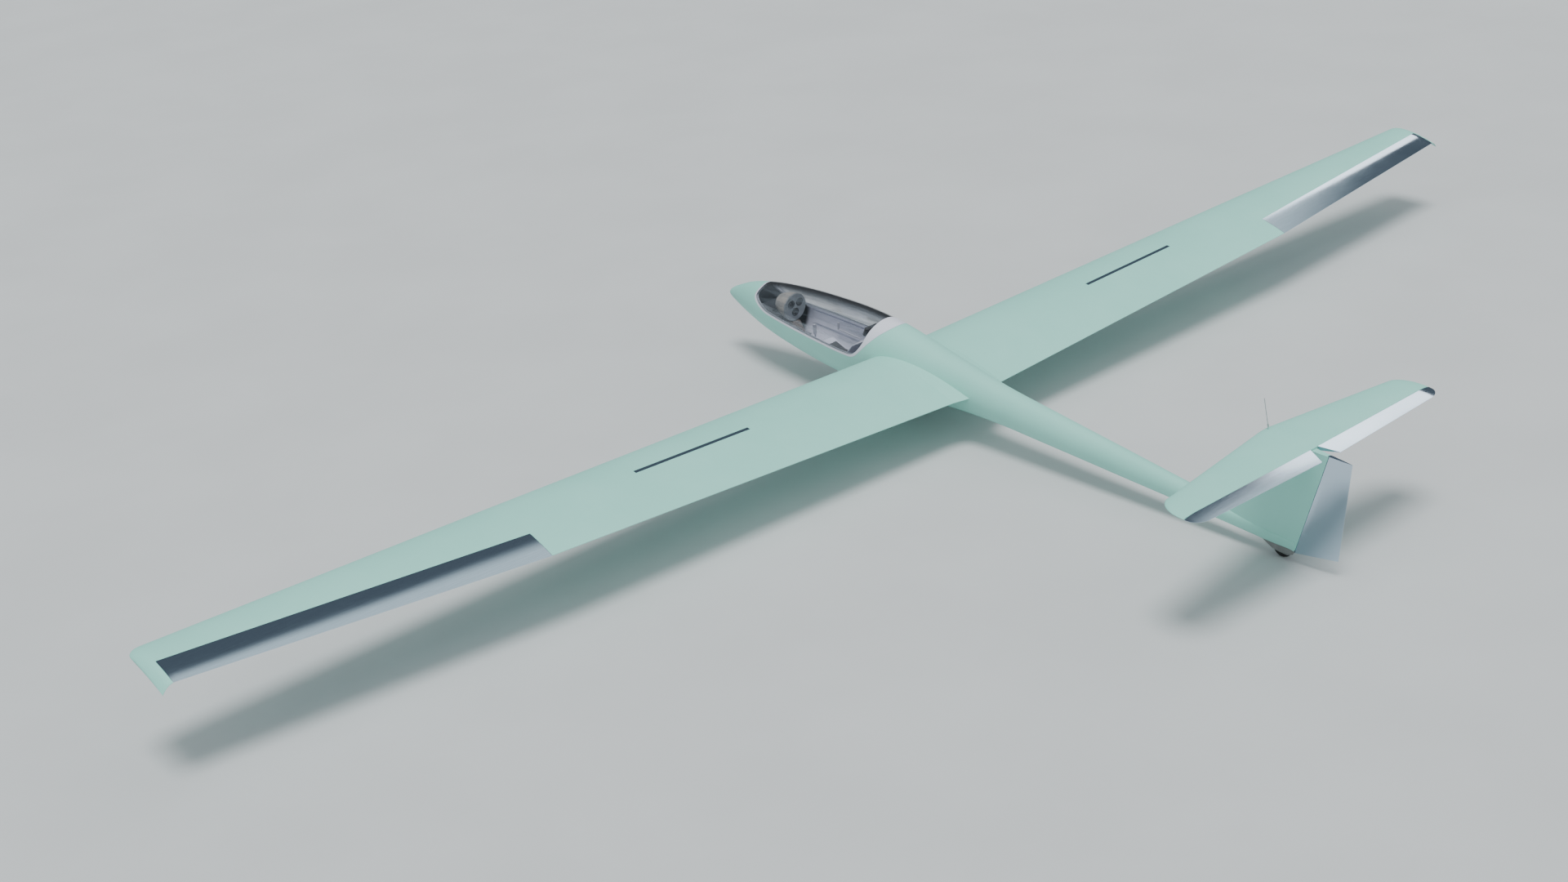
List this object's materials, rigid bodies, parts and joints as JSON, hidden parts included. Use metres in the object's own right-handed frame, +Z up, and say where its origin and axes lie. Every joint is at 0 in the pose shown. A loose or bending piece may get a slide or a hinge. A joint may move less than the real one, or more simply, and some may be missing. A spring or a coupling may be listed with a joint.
{
  "type": "sailplane",
  "caption": "Sailplane with long slender wings, T-tail, side-hinged canopy, airbrakes, moving control surfaces and a retractable main wheel.",
  "frame": {"origin": "on the ground, under the middle of the overall length and width, standing on its wheels with the wings level", "axes": "+Z up, -Y towards the nose, +X towards the port wing tip"},
  "size_m": [15, 7.1324, 1.2696],
  "materials": {
    "mint_paint": "glossy mint gel coat",
    "polished_metal": "polished metal skin",
    "frame_white": "glossy off-white gel coat",
    "clear": "clear acrylic",
    "shell_white": "satin off-white laminate",
    "dark_cover": "matt dark plastic",
    "cushion_grey": "dark grey upholstery",
    "pale_fabric": "pale upholstery",
    "pedestal_brown": "grained brown plastic",
    "instrument_grey": "grey painted panel",
    "tyre": "black rubber",
    "fairing_grey": "grey moulded plastic",
    "steel": "machined steel",
    "carbon": "carbon laminate",
    "lever_grey": "pale grey grip",
    "yellow_knob": "yellow knob"
  },
  "bodies": {
    "airframe": {"fuselage_shell": "mint_paint", "tail_wheel_fairing": "fairing_grey", "canopy_hinge_front": "steel", "canopy_hinge_rear": "steel", "wing_shell_left": "mint_paint", "wing_shell_right": "mint_paint", "wing_spar_left": "carbon", "wing_spar_right": "carbon", "wing_root_fairing_left": "mint_paint", "wing_root_fairing_right": "mint_paint", "main_pin": "steel", "horizontal_stabiliser": "mint_paint", "vertical_fin": "mint_paint", "total_energy_probe": "steel", "tail_axle": "steel", "gear_frame": "steel", "tow_hook": "steel", "seat_shell": "shell_white", "seat_cushion": "cushion_grey", "back_cushion": "pale_fabric", "headrest": "cushion_grey", "main_bulkhead": "shell_white", "rear_shelf": "shell_white", "cockpit_floor": "shell_white", "instrument_panel": "instrument_grey", "airspeed_indicator": "instrument_grey", "altimeter": "instrument_grey", "variometer": "instrument_grey", "instrument_pedestal": "pedestal_brown", "front_deck": "dark_cover", "instrument_hood": "pedestal_brown", "side_liner_left": "shell_white", "side_liner_right": "shell_white"},
    "aileron_left": {"aileron_left": "polished_metal"},
    "aileron_right": {"aileron_right": "polished_metal"},
    "airbrake_left": {"airbrake_cap_left": "polished_metal", "airbrake_blade_left": "polished_metal"},
    "airbrake_right": {"airbrake_cap_right": "polished_metal", "airbrake_blade_right": "polished_metal"},
    "elevator_left": {"elevator_left": "polished_metal"},
    "elevator_right": {"elevator_right": "polished_metal"},
    "rudder": {"rudder": "polished_metal"},
    "canopy": {"canopy_frame": "frame_white", "canopy_glass": "clear"},
    "canopy_latch": {"canopy_latch_handle": "lever_grey"},
    "gear_arm": {"gear_swing_arm": "steel"},
    "main_wheel": {"main_wheel_tyre": "tyre", "main_wheel_hub": "steel"},
    "gear_door_left": {"gear_door_left": "mint_paint"},
    "gear_door_right": {"gear_door_right": "mint_paint"},
    "tail_wheel": {"tail_wheel_tyre": "tyre", "tail_wheel_hub": "steel"},
    "airbrake_lever": {"airbrake_lever": "polished_metal"},
    "gear_lever": {"gear_lever": "lever_grey"},
    "stick_base": {"stick_base": "steel"},
    "control_stick": {"control_stick": "lever_grey"},
    "rudder_pedal_left": {"rudder_pedal_left": "steel"},
    "rudder_pedal_right": {"rudder_pedal_right": "steel"},
    "trim_knob": {"trim_knob": "dark_cover"},
    "tow_release": {"tow_release_knob": "yellow_knob"}
  },
  "joints": [
    {"name": "aileron_left_hinge", "type": "hinge", "parent": "airframe", "child": "aileron_left", "pos_m": [5.943, -0.7038, 0.75844], "axis": [0.9967, -0.0715, 0.0387], "range_deg": [-20, 20]},
    {"name": "aileron_right_hinge", "type": "hinge", "parent": "airframe", "child": "aileron_right", "pos_m": [-5.943, -0.7038, 0.75844], "axis": [0.9967, 0.0715, -0.0387], "range_deg": [-20, 20]},
    {"name": "airbrake_left_slide", "type": "slide", "parent": "airframe", "child": "airbrake_left", "axis": [0, 0.0635, 0.998], "range_m": [0, 0.075]},
    {"name": "airbrake_right_slide", "type": "slide", "parent": "airframe", "child": "airbrake_right", "axis": [0, 0.0635, 0.998], "range_m": [0, 0.075]},
    {"name": "elevator_left_hinge", "type": "hinge", "parent": "airframe", "child": "elevator_left", "pos_m": [0.75, 3.22452, 0.99658], "axis": [1, -0.0089, -0.0023], "range_deg": [-20, 25]},
    {"name": "elevator_right_hinge", "type": "hinge", "parent": "airframe", "child": "elevator_right", "pos_m": [-0.75, 3.22452, 0.99658], "axis": [1, 0.0089, 0.0023], "range_deg": [-20, 25]},
    {"name": "rudder_hinge", "type": "hinge", "parent": "airframe", "child": "rudder", "pos_m": [0, 3.25024, 0.52654], "axis": [0, 0.2805, 0.9598], "range_deg": [-30, 30]},
    {"name": "canopy_hinge", "type": "hinge", "parent": "airframe", "child": "canopy", "pos_m": [-0.296, -2.06522, 0.51518], "axis": [0, -0.998, 0.0635], "range_deg": [0, 95]},
    {"name": "canopy_latch_pivot", "type": "hinge", "parent": "canopy", "child": "canopy_latch", "pos_m": [0.214, -2.16336, 0.54748], "axis": [-1, 0, 0], "range_deg": [0, 40]},
    {"name": "gear_retract", "type": "hinge", "parent": "airframe", "child": "gear_arm", "pos_m": [0, -0.95764, 0.28436], "axis": [-1, 0, 0], "range_deg": [0, 33.9]},
    {"name": "main_wheel_spin", "type": "hinge", "parent": "gear_arm", "child": "main_wheel", "pos_m": [0, -1.28684, 0.15], "axis": [1, 0, 0], "continuous": true},
    {"name": "gear_door_left_hinge", "type": "hinge", "parent": "airframe", "child": "gear_door_left", "pos_m": [0.104, -1.28337, 0.20461], "axis": [0, 0.9981, 0.0612], "range_deg": [0, 100.5]},
    {"name": "gear_door_right_hinge", "type": "hinge", "parent": "airframe", "child": "gear_door_right", "pos_m": [-0.104, -1.28337, 0.20461], "axis": [0, -0.9981, -0.0612], "range_deg": [0, 100.5]},
    {"name": "gear_lever_slide", "type": "slide", "parent": "airframe", "child": "gear_lever", "axis": [0, 0.998, -0.0635], "range_m": [0, 0.1605]},
    {"name": "tail_wheel_spin", "type": "hinge", "parent": "airframe", "child": "tail_wheel", "pos_m": [0, 2.99292, 0.089], "axis": [1, 0, 0], "continuous": true},
    {"name": "airbrake_lever_slide", "type": "slide", "parent": "airframe", "child": "airbrake_lever", "axis": [0, 0.998, -0.0635], "range_m": [0, 0.1405]},
    {"name": "stick_roll", "type": "hinge", "parent": "airframe", "child": "stick_base", "pos_m": [0, -2.34528, 0.28701], "axis": [0, 0.998, -0.0635], "range_deg": [-15.1, 15.1]},
    {"name": "stick_pitch", "type": "hinge", "parent": "stick_base", "child": "control_stick", "pos_m": [0, -2.3449, 0.293], "axis": [1, 0, 0], "range_deg": [-15.1, 12.1]},
    {"name": "rudder_pedal_left_hinge", "type": "hinge", "parent": "airframe", "child": "rudder_pedal_left", "pos_m": [0.06, -2.93396, 0.40515], "axis": [1, 0, 0], "range_deg": [-15.1, 15.1]},
    {"name": "rudder_pedal_right_hinge", "type": "hinge", "parent": "airframe", "child": "rudder_pedal_right", "pos_m": [-0.06, -2.93396, 0.40515], "axis": [1, 0, 0], "range_deg": [-15.1, 15.1]},
    {"name": "trim_slide", "type": "slide", "parent": "airframe", "child": "trim_knob", "axis": [0, 0.998, -0.0635], "range_m": [-0.03, 0.05]},
    {"name": "tow_release_slide", "type": "slide", "parent": "airframe", "child": "tow_release", "axis": [0, 0.998, -0.0635], "range_m": [0, 0.035], "stiffness_N_per_m": 120}
  ],
  "couplings": [
    {"joint": "aileron_right_hinge", "follows": "aileron_left_hinge", "ratio": -1},
    {"joint": "stick_roll", "follows": "aileron_left_hinge", "ratio": 0.75},
    {"joint": "elevator_right_hinge", "follows": "elevator_left_hinge", "ratio": 1},
    {"joint": "stick_pitch", "follows": "elevator_left_hinge", "ratio": -0.6},
    {"joint": "rudder_pedal_right_hinge", "follows": "rudder_hinge", "ratio": 0.5},
    {"joint": "rudder_pedal_left_hinge", "follows": "rudder_hinge", "ratio": -0.5},
    {"joint": "airbrake_right_slide", "follows": "airbrake_left_slide", "ratio": 1},
    {"joint": "airbrake_lever_slide", "follows": "airbrake_left_slide", "ratio": 1.8667},
    {"joint": "gear_door_left_hinge", "follows": "gear_retract", "ratio": 2.95},
    {"joint": "gear_door_right_hinge", "follows": "gear_retract", "ratio": 2.95},
    {"joint": "gear_lever_slide", "follows": "gear_retract", "m_per_rad": 0.2704}
  ]
}
